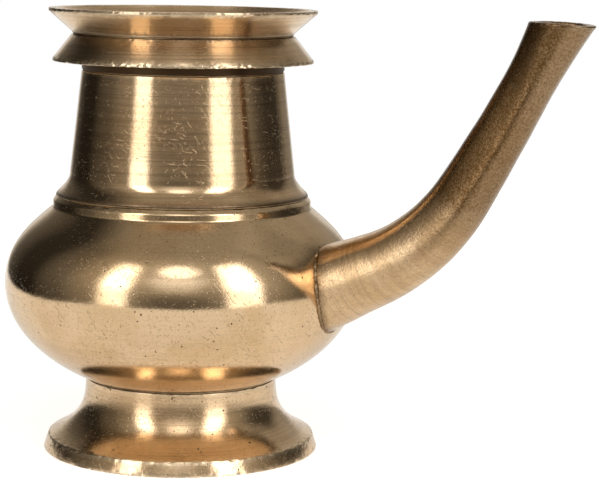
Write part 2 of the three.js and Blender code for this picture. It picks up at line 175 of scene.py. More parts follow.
class Outline:
    """The outline of a casting, drawn run by run in millimetres of radius and height.

    Args:
        start: Where the drawing starts.
        step: The longest step along it.
        **marks: Rounding, wear, and grime and painted shade of the first corner.
    """

    CURVE_POINTS = 24
    ROUNDING_POINTS = 5
    ROUNDING_HANDLE = 0.55
    WEAR_REACH = 1.7
    GRIME_AND_SHADE_REACH = 2.2
    TOUCHING = 1e-6

    def __init__(self, start: Pair, step: float = 1.0, **marks: float) -> None:
        """Puts the pen on the first corner."""
        self.step = step
        self.runs: list[list[Vector]] = []
        self.corners = [Corner(Vector(start), **marks)]

    def line(self, *ends: Pair, **marks: float) -> None:
        """Draws straight runs.

        Args:
            *ends: Radius and height of the end of each run.
            **marks: Rounding, wear, and grime and painted shade of the last corner.
        """
        for end in ends:
            self.runs.append([self.corners[-1].place, Vector(end)])
            self.corners.append(Corner(Vector(end)))
        self.corners[-1] = Corner(Vector(ends[-1]), **marks)

    def curve(self, first: Pair, second: Pair, end: Pair, **marks: float) -> None:
        """Draws a curved run.

        Args:
            first: The handle that it leaves towards.
            second: The handle that it arrives from.
            end: Its end.
            **marks: Rounding, wear, and grime and painted shade of the corner that it ends in.
        """
        knots = [self.corners[-1].place, Vector(first), Vector(second), Vector(end)]
        self.runs.append([Vector(p[:2]) for p in interpolate_bezier(*knots, self.CURVE_POINTS)])
        self.corners.append(Corner(Vector(end), **marks))

    def closed(self) -> bool:
        """Whether the outline ends where it starts."""
        return (self.corners[0].place - self.corners[-1].place).length < self.TOUCHING

    def points(self) -> list[Vector]:
        """The outline's points, corners rounded, in millimetres."""
        roundings = [corner.rounding for corner in self.corners]
        if self.closed():
            roundings[-1] = roundings[0]
        drawn: list[Vector] = []
        for index, run in enumerate(self.runs):
            reach = roundings[index + 1]
            run = trimmed(run, roundings[index], reach)
            drawn += stepped(run, self.step)[0 if not drawn else 1 :]
            if reach > 0:
                corner = self.corners[index + 1].place
                leave, _ = along(self.runs[(index + 1) % len(self.runs)], reach)
                handles = [p.lerp(corner, self.ROUNDING_HANDLE) for p in (run[-1], leave)]
                arc = interpolate_bezier(run[-1], *handles, leave, self.ROUNDING_POINTS)
                drawn += [Vector(p[:2]) for p in arc][1:]
        return drawn[:-1] if self.closed() else drawn

    def marks_at(self, point: Vector) -> tuple[float, float]:
        """How worn the outline is near its marked corners, and how much grime and painted shade it gets
        there.

        Args:
            point: A point of the outline.

        Returns:
            The wear, and the grime and painted shade, from 0.
        """
        worn, grime_and_shade_level = 0.0, 0.0
        for corner in self.corners:
            away = (point - corner.place).length
            worn = max(worn, corner.wear * (1 - away / self.WEAR_REACH))
            grime_and_shade_level = max(grime_and_shade_level, corner.grime * (1 - away / self.GRIME_AND_SHADE_REACH))
        return worn, grime_and_shade_level


def wired(bm: Mesh, outline: Outline, placed: Callable[[Vector], Vector]) -> list:
    """Adds an outline to a mesh as a chain of edges that carries its length, its wear, and its grime and
    painted shade.

    Args:
        bm: The mesh.
        outline: The outline.
        placed: Where a point of radius and height goes.

    Returns:
        The chain's vertices and edges.
    """
    length, worn, grime_and_shade_level = [bm.verts.layers.float.new(name) for name in ("along", "worn", "grime_and_shade_level")]
    bm.verts.layers.float_vector.new("straight")
    points = outline.points()
    verts = []
    run = 0.0
    for index, point in enumerate(points):
        vert = bm.verts.new(placed(point * MM))
        run += (point - points[index - 1]).length * MM if index else 0.0
        vert[length] = run
        vert[worn], vert[grime_and_shade_level] = outline.marks_at(point)
        verts.append(vert)
    edges = [bm.edges.new(pair) for pair in zip(verts, verts[1:])]
    if outline.closed():
        edges.append(bm.edges.new((verts[-1], verts[0])))
    return verts + edges


def spun(bm: Mesh, chain: list, centre: float, sides: int) -> None:
    """Turns a chain once round an upright axis and closes the seam.

    Args:
        bm: The mesh.
        chain: The vertices and edges that are turned.
        centre: X of the axis, in metres.
        sides: How many sides the turned shape has.
    """
    bmesh.ops.spin(bm, geom=chain, cent=(centre, 0, 0), axis=(0, 0, 1), angle=math.tau, steps=sides,
                   use_merge=True, use_duplicate=False)
    bmesh.ops.remove_doubles(bm, verts=bm.verts, dist=SEAM)


def finished(bm: Mesh, name: str) -> Piece:
    """Closes a mesh's seams, turns its faces outwards and makes it a smooth object.

    Args:
        bm: The mesh, which is freed.
        name: The piece's name.

    Returns:
        The object.
    """
    bmesh.ops.remove_doubles(bm, verts=bm.verts, dist=SEAM)
    bmesh.ops.recalc_face_normals(bm, faces=bm.faces)
    for face in bm.faces:
        face.smooth = True
    mesh = bpy.data.meshes.new(name)
    bm.to_mesh(mesh)
    bm.free()
    piece = bpy.data.objects.new(name, mesh)
    bpy.context.scene.collection.objects.link(piece)
    return piece


@dataclass(frozen=True)
class Handwork:
    """What hand finishing leaves on a surface, in metres.

    Args:
        wave: Depth of the slow waves.
        wave_size: Their width.
        nick: Depth of the nicks on worn edges.
        nick_size: Their width.
        nick_share: How much of an edge is nicked, from 0 to 1.
    """

    wave: float = 0.09 * MM
    wave_size: float = 13 * MM
    nick: float = 0.4 * MM
    nick_size: float = 0.7 * MM
    nick_share: float = 0.6

    def apply(self, bm: Mesh) -> None:
        """Turns the faces outwards, then moves each vertex inwards by the waves and the nicks.

        Args:
            bm: The mesh, with a worn layer.
        """
        bmesh.ops.recalc_face_normals(bm, faces=bm.faces)
        bm.normal_update()
        worn = bm.verts.layers.float["worn"]
        moves = []
        for vert in bm.verts:
            depth = self.wave * (0.5 + 0.5 * noise.noise(vert.co / self.wave_size))
            if vert[worn] > 0:
                nick = noise.noise(vert.co / self.nick_size) - 0.5 + self.nick_share
                depth += self.nick * vert[worn] * max(0.0, nick)
            moves.append(vert.normal * depth)
        for vert, move in zip(bm.verts, moves):
            vert.co -= move


# Finishes


class Tree:
    """Adds and links the nodes of one node tree.

    Args:
        tree: The tree.
    """

    MIX_SHARE, MIX_LOW, MIX_HIGH, MIX_RESULT = 0, 6, 7, 2

    def __init__(self, tree: bpy.types.NodeTree) -> None:
        """Keeps the tree."""
        self.tree = tree

    @classmethod
    def of(cls, owner: bpy.types.Material | bpy.types.World) -> "Tree":
        """The emptied tree of a material or a world."""
        owner.use_nodes = True
        owner.node_tree.nodes.clear()
        return cls(owner.node_tree)

    def add(self, kind: str, inputs: dict | None = None, **settings: object) -> bpy.types.Node:
        """Adds a node.

        Args:
            kind: The node's type.
            inputs: Values or sockets for its inputs, by name or index.
            **settings: Its other properties.

        Returns:
            The node.
        """
        node = self.tree.nodes.new(kind)
        for name, value in settings.items():
            setattr(node, name, value)
        for name, value in (inputs or {}).items():
            self.put(node.inputs[name], value)
        return node

    def put(self, socket: Socket, value: object) -> None:
        """Links a socket to an input, or sets the input's value.

        Args:
            socket: The input.
            value: The socket or value that it gets.
        """
        if isinstance(value, Socket):
            self.tree.links.new(value, socket)
        elif isinstance(value, tuple) and socket.type == "RGBA":
            socket.default_value = (*value, 1.0)
        else:
            socket.default_value = value

    def maths(self, operation: str, *values: object, clamp: bool = False) -> Socket:
        """The result of a Math node on up to three values."""
        inputs = dict(enumerate(values))
        return self.add("ShaderNodeMath", inputs, operation=operation, use_clamp=clamp).outputs[0]

    def times(self, first: object, second: object, clamp: bool = False) -> Socket:
        """The product of two values."""
        return self.maths("MULTIPLY", first, second, clamp=clamp)

    def layered(self, total: object, *layers: tuple[object, object], clamp: bool = False) -> Socket:
        """A value with layers added to it.

        Args:
            total: The value.
            *layers: A share and its weight for each layer.
            clamp: Whether the sum stays between 0 and 1.

        Returns:
            The sum.
        """
        for share, weight in layers:
            total = self.maths("MULTIPLY_ADD", share, weight, total, clamp=clamp)
        return total

    def squared(self, *parts: Socket) -> Socket:
        """The sum of the squares of two values."""
        return self.maths("ADD", *[self.maths("POWER", part, 2.0) for part in parts])

    def vector(self, operation: str, *values: object) -> Socket:
        """The vector result of a Vector Math node."""
        return self.add("ShaderNodeVectorMath", dict(enumerate(values)), operation=operation).outputs[0]

    def joined(self, *parts: object) -> Socket:
        """A vector put together from its parts."""
        return self.add("ShaderNodeCombineXYZ", dict(enumerate(parts))).outputs[0]

    def parted(self, value: Socket, kind: str = "XYZ") -> list[Socket]:
        """The parts of a vector, or of a colour where the kind is Color."""
        return list(self.add(f"ShaderNodeSeparate{kind}", {0: value}).outputs)

    def turned(self, place: Socket, angle: object) -> Socket:
        """A vector turned about Z by an angle in radians."""
        inputs = {"Vector": place, "Angle": angle}
        return self.add("ShaderNodeVectorRotate", inputs, rotation_type="Z_AXIS").outputs[0]

    def grain(self, place: Socket, scale: float, **inputs: float) -> bpy.types.Node:
        """A noise texture with values for its inputs."""
        return self.add("ShaderNodeTexNoise", {"Vector": place, "Scale": scale, **inputs})

    def attribute(self, name: str, output: str = "Fac") -> Socket:
        """An attribute that the mesh carries."""
        return self.add("ShaderNodeAttribute", attribute_name=name).outputs[output]

    def blend(self, share: object, low: object, high: object) -> Socket:
        """A mix of two colours."""
        inputs = {self.MIX_SHARE: share, self.MIX_LOW: low, self.MIX_HIGH: high}
        return self.add("ShaderNodeMix", inputs, data_type="RGBA").outputs[self.MIX_RESULT]

    def spread(self, value: object, low: float, high: float, new_low: float = 0.0, new_high: float = 1.0,
               smooth: bool = True) -> Socket:
        """A value moved from one range to another, and held inside it.

        Args:
            value: The value.
            low: Where the old range starts.
            high: Where it ends.
            new_low: Where the new range starts.
            new_high: Where it ends.
            smooth: Whether it eases in and out.

        Returns:
            The moved value.
        """
        kind = "SMOOTHSTEP" if smooth else "LINEAR"
        inputs = {0: value, 1: low, 2: high, 3: new_low, 4: new_high}
        return self.add("ShaderNodeMapRange", inputs, interpolation_type=kind).outputs[0]


class Effect:
    """A node group that one kind of mark on the metal is built in once.

    Args:
        name: The group's name.
    """

    def __init__(self, name: str) -> None:
        """Starts an empty group."""
        self.group = bpy.data.node_groups.new(name, "ShaderNodeTree")
        self.tree = Tree(self.group)
        self.source = self.group.nodes.new("NodeGroupInput")
        self.sink = self.group.nodes.new("NodeGroupOutput")

    def takes(self, name: str, value: object = None, kind: str = "NodeSocketFloat") -> Socket:
        """Adds a named input.

        Args:
            name: The input's name.
            value: Its default value.
            kind: The socket's type.

        Returns:
            The socket inside the group.
        """
        socket = self.group.interface.new_socket(name=name, in_out="INPUT", socket_type=kind)
        if value is not None:
            socket.default_value = value
        return self.source.outputs[name]

    def gives(self, name: str, value: Socket, kind: str = "NodeSocketFloat") -> None:
        """Adds a named output, fed by a socket inside the group."""
        self.group.interface.new_socket(name=name, in_out="OUTPUT", socket_type=kind)
        self.tree.put(self.sink.inputs[name], value)

    def used(self, tree: Tree, **inputs: object) -> bpy.types.Node:
        """Adds the group to a tree, with values or sockets for its inputs."""
        return tree.add("ShaderNodeGroup", inputs, node_tree=self.group)


def unrolled() -> Effect:
    """Coordinates of a turned surface: laid flat, straightened, and as it lies."""
    effect = Effect("unrolled_surface")
    tree = effect.tree
    radius = effect.takes("Radius", 0.04)
    ringed = tree.attribute("straight", "Vector")
    x, y, length = tree.parted(ringed)
    round_axis = tree.times(tree.maths("ARCTAN2", y, x), radius)
    effect.gives("Flat", tree.joined(round_axis, length), VECTOR)
    effect.gives("Ringed", ringed, VECTOR)
    effect.gives("Place", tree.add("ShaderNodeTexCoord").outputs["Object"], VECTOR)
    return effect


def turning_lines() -> Effect:
    """Fine lines that the lathe tool leaves round the piece, at two pitches."""
    effect = Effect("turning_lines")
    tree = effect.tree
    ringed = effect.takes("Ringed", kind=VECTOR)
    across = tree.maths("DIVIDE", 1.0, effect.takes("Pitch", 0.3 * MM))
    lines = []
    for share, around, weight in ((1.0, 22.0, 0.55), (0.31, 11.0, 0.45)):
        place = tree.vector("MULTIPLY", ringed, tree.joined(around, around, tree.times(across, share)))
        lines.append((tree.grain(place, 1.0, Detail=2.0, Roughness=0.6).outputs[0], weight))
    effect.gives("Lines", tree.layered(0.0, *lines))
    return effect


def dashes() -> Effect:
    """Short straight marks, one at most in each cell of a grid, all at one angle."""
    effect = Effect("dash_marks")
    tree = effect.tree
    room, jitter, core = 1.3, 0.8, 0.35
    flat = effect.takes("Flat", kind=VECTOR)
    inputs = {"Angle": 0.0, "Length": 3 * MM, "Width": 0.1 * MM, "Spacing": 4 * MM, "Share": 0.4, "Seed": 0.0}
    angle, length, width, spacing, share, seed = [effect.takes(*given) for given in inputs.items()]
    cell = tree.joined(tree.times(length, room), spacing, 1.0)
    place = tree.vector("DIVIDE", tree.turned(flat, angle), cell)
    place = tree.vector("ADD", place, tree.joined(seed, seed, 0.0))
    cells = tree.add("ShaderNodeTexVoronoi", {"Vector": place, "Scale": 1.0, "Randomness": jitter},
                     voronoi_dimensions="2D")
    away = tree.vector("MULTIPLY", tree.vector("SUBTRACT", place, cells.outputs["Position"]), cell)
    parts = [tree.maths("DIVIDE", part, tree.times(size, 0.5))
             for part, size in zip(tree.parted(away), (length, width))]
    mark = tree.spread(tree.maths("SQRT", tree.squared(*parts)), 1.0, core)
    chance = tree.parted(cells.outputs["Color"], "Color")[0]
    effect.gives("Marks", tree.times(mark, tree.maths("LESS_THAN", chance, share)))
    return effect


def scratches() -> Effect:
    """Handling scratches at several angles, crowded in places."""
    dash = dashes()
    effect = Effect("handling_scratches")
    tree = effect.tree
    flat = effect.takes("Flat", kind=VECTOR)
    crowd = tree.grain(flat, 55.0, Detail=2.0).outputs[0]
    share = tree.times(effect.takes("Share", 0.4), tree.spread(crowd, 0.36, 0.66, 0.12, 1.7))
    seed_step = 3.7
    total = 0.0
    strokes = ((0.62, 2.3, 0.15, 2.6), (-0.5, 1.5, 0.07, 1.4), (0.12, 3.4, 0.07, 2.1), (1.25, 1.3, 0.08, 1.6),
               (-1.1, 1.3, 0.17, 2.3), (0.95, 4.4, 0.12, 3.1))
    for index, (angle, length, width, spacing) in enumerate(strokes):
        marks = dash.used(tree, Flat=flat, Angle=angle, Length=length * MM, Width=width * MM,
                          Spacing=spacing * MM, Share=share, Seed=seed_step * index)
        total = tree.maths("MAXIMUM", total, marks.outputs[0])
    effect.gives("Scratches", total)
    return effect


def pits() -> Effect:
    """Casting pits of two sizes."""
    effect = Effect("casting_pits")
    tree = effect.tree
    place = effect.takes("Place", kind=VECTOR)
    share = effect.takes("Share", 0.3)
    size = effect.takes("Size", 1.0)
    warp, warp_scale, smallest, core = 0.22, 3.0, 0.35, 0.4
    total = 0.0
    for cell, radius, weight in ((2.4, 0.3, 1.0), (1.0, 0.15, 0.8)):
        scaled = tree.vector("DIVIDE", place, (cell * MM,) * 3)
        bend = tree.vector("MULTIPLY", tree.grain(scaled, warp_scale).outputs["Color"], (warp,) * 3)
        cells = tree.add("ShaderNodeTexVoronoi", {"Vector": tree.vector("ADD", scaled, bend), "Scale": 1.0})
        drawn, large, _ = tree.parted(cells.outputs["Color"], "Color")
        reach = tree.times(tree.spread(large, 0.0, 1.0, smallest, 1.0), radius / cell)
        reach = tree.times(reach, size)
        hole = tree.spread(tree.maths("DIVIDE", cells.outputs["Distance"], reach), 1.0, core)
        hole = tree.times(hole, tree.maths("LESS_THAN", drawn, share))
        total = tree.maths("MAXIMUM", total, tree.times(hole, weight))
    effect.gives("Pits", total)
    return effect


def patina() -> Effect:
    """Blotches, mottle and speckle of old handling and tarnish."""
    effect = Effect("patina")
    place = effect.takes("Place", kind=VECTOR)
    kinds = (("Blotches", 38.0, 4.0, 0.6, 0.6, 0.38, 0.66), ("Mottle", 1500.0, 3.0, 0.7, 0.0, 0.35, 0.68),
             ("Speckle", 2300.0, 2.0, 0.8, 0.0, 0.52, 0.74))
    for name, scale, detail, roughness, distortion, low, high in kinds:
        grain = effect.tree.grain(place, scale, Detail=detail, Roughness=roughness, Distortion=distortion)
        effect.gives(name, effect.tree.spread(grain.outputs[0], low, high))
    return effect


@dataclass(frozen=True)
class Effects:
    """The effects that every finish is put together from."""

    unrolled: Effect
    lines: Effect
    scratches: Effect
    pits: Effect
    patina: Effect

    @classmethod
    def built(cls) -> "Effects":
        """Builds every group once."""
        return cls(unrolled(), turning_lines(), scratches(), pits(), patina())


@dataclass(frozen=True)
class Brass:
    """A bare brass finish.

    Args:
        name: The material's name.
        metal: Colour of the clean metal.
        tarnish: Colour where it has dulled.
        dirt: Colour of pits.
        grime: Colour of grime in corners, and of the painted shade that some corners get.
        grime_blur: Roughness that pits, grime and painted shade add.
        bright: Colour of worn edges.
        roughness: Roughness of the clean metal.
        dullness: Added where it has dulled.
        radius: Radius that scratches are laid out at.
        line_pitch: Pitch of the turning lines.
        line_depth: Their depth.
        scratch_share: How many cells hold a scratch.
        scratch_depth: How deep the scratches are.
        pit_share: How many cells hold a pit.
        pit_size: Size of the pits, where 1 is about half a millimetre.
        grain_depth: Depth of the skin's fine grain.
        tarnish_share: How much of the metal has dulled.
        brushing: How far the lathe's lines stretch reflections across them, from 0 to 1.
        groove_stain: How much dirt the lines hold.
        scratch_stain: How much dirt the scratches hold.
    """

    name: str
    metal: Colour = (0.75, 0.55, 0.345)
    tarnish: Colour = (0.6, 0.395, 0.215)
    dirt: Colour = (0.12, 0.07, 0.035)
    grime: Colour = (0.1, 0.06, 0.03)
    grime_blur: float = 0.35
    bright: Colour = (0.88, 0.74, 0.54)
    roughness: float = 0.08
    dullness: float = 0.1
    radius: float = 0.04
    line_pitch: float = 0.5 * MM
    line_depth: float = 0.004 * MM
    scratch_share: float = 0.3
    scratch_depth: float = 0.006 * MM
    pit_share: float = 0.1
    pit_size: float = 1.0
    grain_depth: float = 0.0015 * MM
    tarnish_share: float = 0.5
    brushing: float = 0.0
    groove_stain: float = 0.0
    scratch_stain: float = 0.4

    LEAST_GRIME_AND_SHADE = 0.76
    MOTTLE_TARNISH = 0.4
    SPECKLE_STAIN = 0.6
    SPECKLE_DEPTH = 0.35
    GROOVE = (0.47, 0.6)
    WORN_SHINE = 0.5
    WORN_BLUR = 0.12
    PIT_DEPTH = 0.035 * MM
    QUARTER_TURN = 0.25

    def material(self, effects: Effects) -> bpy.types.Material:
        """Builds the material.

        Args:
            effects: The shared effects.

        Returns:
            The material.
        """
        made = bpy.data.materials.new(self.name)
        tree = Tree.of(made)
        flat, ringed, place = effects.unrolled.used(tree, Radius=self.radius).outputs
        line = effects.lines.used(tree, Ringed=ringed, Pitch=self.line_pitch).outputs[0]
        scratch = effects.scratches.used(tree, Flat=flat, Share=self.scratch_share).outputs[0]
        hole = effects.pits.used(tree, Place=place, Share=self.pit_share, Size=self.pit_size).outputs[0]
        blotches, mottle, speckle = effects.patina.used(tree, Place=place).outputs
        worn = tree.attribute("worn")
        spotty = tree.spread(mottle, 0.0, 1.0, self.LEAST_GRIME_AND_SHADE, 1.0)
        # This mask lays real grime in corners and also painted shade, under the drip flange's skirt and at
        # the spout's root.
        grime = tree.times(tree.attribute("grime_and_shade_level"), spotty, clamp=True)
        dull = tree.layered(blotches, (mottle, self.MOTTLE_TARNISH))
        dull = tree.times(dull, self.tarnish_share, clamp=True)
        colour = self.metal
        for share, over in (
            (dull, self.tarnish),
            (tree.times(speckle, self.SPECKLE_STAIN * self.tarnish_share), self.dirt),
            (tree.times(tree.spread(line, *self.GROOVE), self.groove_stain), self.dirt),
            (tree.times(scratch, self.scratch_stain), self.dirt),
            (tree.times(worn, self.WORN_SHINE), self.bright),
            (grime, self.grime),
            (hole, self.dirt),
        ):
            colour = tree.blend(share, colour, over)
        rough = tree.layered(self.roughness, (dull, self.dullness), (worn, self.WORN_BLUR),
                             (tree.maths("ADD", hole, grime), self.grime_blur), clamp=True)
        grain = tree.layered(mottle, (speckle, self.SPECKLE_DEPTH))
        height = tree.layered(0.0, (line, self.line_depth), (scratch, -self.scratch_depth),
                              (hole, -self.PIT_DEPTH), (grain, self.grain_depth))
        bump = tree.add("ShaderNodeBump", {"Height": height, "Distance": 1.0, "Strength": 1.0})
        around = tree.add("ShaderNodeTangent", direction_type="RADIAL", axis="Z")
        shader = tree.add("ShaderNodeBsdfPrincipled", {
            "Base Color": colour, "Roughness": rough, "Metallic": 1.0, "Normal": bump.outputs[0],
            "Anisotropic": self.brushing, "Anisotropic Rotation": self.QUARTER_TURN,
            "Tangent": around.outputs[0],
        })
        tree.add("ShaderNodeOutputMaterial", {0: shader.outputs[0]})
        return made


class Finish(Enum):
    """The finishes of the castings and the filler."""

    LIP = Brass("turned_lip_finish", roughness=0.15, line_depth=0.016 * MM, pit_share=0.3,
                grain_depth=0.002 * MM, tarnish_share=0.55, brushing=1.0, scratch_depth=0.012 * MM,
                scratch_share=0.15, groove_stain=0.24)
    # The flange's grime colour is also the painted shade under its skirt.
    FLANGE = replace(LIP, name="turned_flange_finish", grime=(0.11, 0.07, 0.038), roughness=0.14,
                     pit_share=0.4, grain_depth=0.0025 * MM, tarnish_share=0.65)
    NECK = Brass("polished_neck_finish", radius=0.034, roughness=0.105, line_depth=0.013 * MM,
                 scratch_share=0.2, scratch_depth=0.018 * MM, brushing=0.75, grain_depth=0.0045 * MM,
                 pit_share=0.4, groove_stain=0.2, scratch_stain=0.5)
    BELLY = Brass("polished_belly_finish", radius=0.05, roughness=0.075, line_pitch=0.36 * MM,
                  line_depth=0.002 * MM, pit_share=0.9, pit_size=1.35, tarnish_share=0.62,
                  scratch_depth=0.011 * MM, scratch_share=0.22, grain_depth=0.005 * MM, groove_stain=0.06,
                  scratch_stain=0.9, tarnish=(0.62, 0.42, 0.225))
    FOOT = Brass("turned_foot_finish", roughness=0.13, line_depth=0.01 * MM, grain_depth=0.006 * MM,
                 pit_share=0.95, pit_size=1.6, tarnish_share=0.6, brushing=0.8, scratch_depth=0.016 * MM,
                 scratch_share=0.18, groove_stain=0.16)
    # The cast finish's grime colour also paints shade on the spout near its root.
    CAST = Brass("cast_brass_finish", radius=0.011, metal=(0.71, 0.51, 0.31), tarnish=(0.46, 0.29, 0.14),
                 grime=(0.125, 0.064, 0.022), grime_blur=0.1, roughness=0.14, line_depth=0.007 * MM,
                 line_pitch=0.8 * MM, pit_share=0.95, pit_size=0.95, grain_depth=0.013 * MM,
                 tarnish_share=0.55, scratch_depth=0.03 * MM, groove_stain=0.14, scratch_stain=0.5)
    FILLER = Brass("braze_filler_finish", radius=0.014, metal=(0.46, 0.32, 0.18), tarnish=(0.09, 0.055, 0.03),
                   dirt=(0.04, 0.025, 0.015), roughness=0.35, line_depth=0.0, pit_share=0.9, pit_size=1.4,
                   grain_depth=0.03 * MM, tarnish_share=0.7)


# The castings


@dataclass
class Part:
    """A piece of the pot.

    Args:
        name: The piece's name.
        node: The node that it stands for.
        slot: The record's slot for its finish; not used.
        finish: The finish.
    """

    name: str
    node: str
    slot: Slot
    finish: Finish

    def build(self) -> Piece:
        """Builds the piece."""
        raise NotImplementedError


@dataclass
class Turning(Part):
    """A turned casting of the pot.

    Args:
        sides: How many sides its roundness has.
        handwork: What finishing left on it.
    """

    sides: int = 256
    handwork: Handwork = Handwork()

    def outline(self) -> Outline:
        """The casting's outline."""
        raise NotImplementedError

    def height(self) -> tuple[float, float]:
        """The lowest and highest point of the node, in millimetres."""
        low, high = box(self.node)
        return low.z / MM, high.z / MM

    def radius(self) -> float:
        """The node's largest radius, in millimetres."""
        low, high = box(self.node)
        return (high.x - low.x) / 2 / MM

    def build(self) -> Piece:
        """Turns the outline about the pot's axis."""
        bm = bmesh.new()
        chain = wired(bm, self.outline(), lambda p: Vector((AXIS_X + p.x, 0, p.y)))
        spun(bm, chain, AXIS_X, self.sides)
        length = bm.verts.layers.float["along"]
        straight = bm.verts.layers.float_vector["straight"]
        for vert in bm.verts:
            vert[straight] = Vector((vert.co.x - AXIS_X, vert.co.y, vert[length]))
        self.handwork.apply(bm)
        return finished(bm, self.name)


@dataclass
class MouthCone(Turning):
    """The flared lip above the waist."""

    sides: int = 480
    spigot_depth: float = 3.0
    spigot_radius: float = 30.1
    throat: float = 28.5
    throat_top: float = 131.0
    throat_ease: float = 3.0
    waist_radius: float = 34.9
    waist_band: float = 0.4
    lip_edge: float = 1.0
    lip_width: float = 2.0
    lip_ease: float = 5.3

    def outline(self) -> Outline:
        """Spigot, waist band, flare, flat lip and funnel."""
        bottom, top = self.height()
        lip = self.radius()
        seat = bottom + self.spigot_depth
        pen = Outline((self.throat, bottom), step=0.7)
        pen.line((self.spigot_radius, bottom), (self.spigot_radius, seat))
        pen.line((self.waist_radius, seat), rounding=0.1, grime=0.5)
        pen.line((self.waist_radius, seat + self.waist_band), rounding=0.15, grime=0.3)
        pen.line((lip, top - self.lip_edge), rounding=0.22, wear=1.0)
        pen.line((lip, top), rounding=0.2, wear=0.7)
        pen.line((lip - self.lip_width, top), rounding=0.25, wear=0.5)
        pen.curve((self.waist_radius, top - self.lip_ease), (self.throat, self.throat_top + self.throat_ease),
                  (self.throat, self.throat_top))
        pen.line((self.throat, bottom))
        return pen


@dataclass
class DripFlange(Turning):
    """The ring with a short sleeve, whose skirt slopes down and outwards."""

    sides: int = 480
    bore: float = 27.75
    spigot_radius: float = 29.35
    spigot_depth: float = 2.5
    sleeve_radius: float = 31.95
    sleeve_height: float = 2.5
    # Painted shade: grime so strong that the sleeve and undercut under the overhanging skirt go fully dark.
    sleeve_grime: float = 4.0
    skirt_edge: float = 0.8
    undercut: float = 1.2
    seat_radius: float = 35.2
    socket_radius: float = 30.4
    socket_depth: float = 2.8

    def outline(self) -> Outline:
        """Spigot, sleeve, undercut skirt, seat and socket, with painted shade laid on the sleeve under the
        skirt.
        """
        bottom, top = self.height()
        skirt = self.radius()
        sleeve = bottom + self.spigot_depth
        skirt_bottom = sleeve + self.sleeve_height
        pen = Outline((self.bore, bottom), step=0.7)
        pen.line((self.spigot_radius, bottom), (self.spigot_radius, sleeve))
        # These two corners carry the painted shade under the skirt.
        pen.line((self.sleeve_radius, sleeve), rounding=0.15, grime=self.sleeve_grime)
        pen.line((self.sleeve_radius, skirt_bottom + self.undercut), rounding=0.3, grime=self.sleeve_grime)
        pen.line((skirt, skirt_bottom), rounding=0.2, wear=0.9)
        pen.line((skirt, skirt_bottom + self.skirt_edge), rounding=0.25, wear=1.0)
        pen.line((self.seat_radius, top), rounding=0.12, wear=0.6)
        pen.line((self.socket_radius, top), (self.socket_radius, top - self.socket_depth),
                 (self.bore, top - self.socket_depth), (self.bore, bottom))
        return pen


@dataclass
class Neck(Turning):
    """The tapered tube with a coved flange at its bottom."""

    spigot_depth: float = 2.5
    spigot_radius: float = 34.8
    bore: float = 33.2
    flange_edge: float = 0.4
    flange_inset: float = 0.6
    cove_height: float = 6.6
    cove_ease: float = 2.6
    cove_radius: float = 35.5
    top_radius: float = 31.95
    socket_radius: float = 29.65
    socket_depth: float = 2.8

    def outline(self) -> Outline:
        """Spigot, flange, cove, tapered wall, socket and bore."""
        bottom, top = self.height()
        flange = self.radius() - self.flange_inset
        seat = bottom + self.spigot_depth
        cove = seat + self.flange_edge
        cove_top = cove + self.cove_height
        pen = Outline((self.bore, bottom), step=0.9)
        pen.line((self.spigot_radius, bottom), (self.spigot_radius, seat))
        pen.line((flange, seat), rounding=0.1, grime=1.0)
        pen.line((flange, cove), rounding=0.15, grime=0.5)
        pen.curve((flange - self.cove_ease, cove + self.cove_ease),
                  (self.cove_radius, cove_top - self.cove_ease), (self.cove_radius, cove_top))
        pen.line((self.top_radius, top), rounding=0.15, wear=0.5)
        pen.line((self.socket_radius, top), (self.socket_radius, top - self.socket_depth),
                 (self.bore, cove_top), (self.bore, bottom))
        return pen


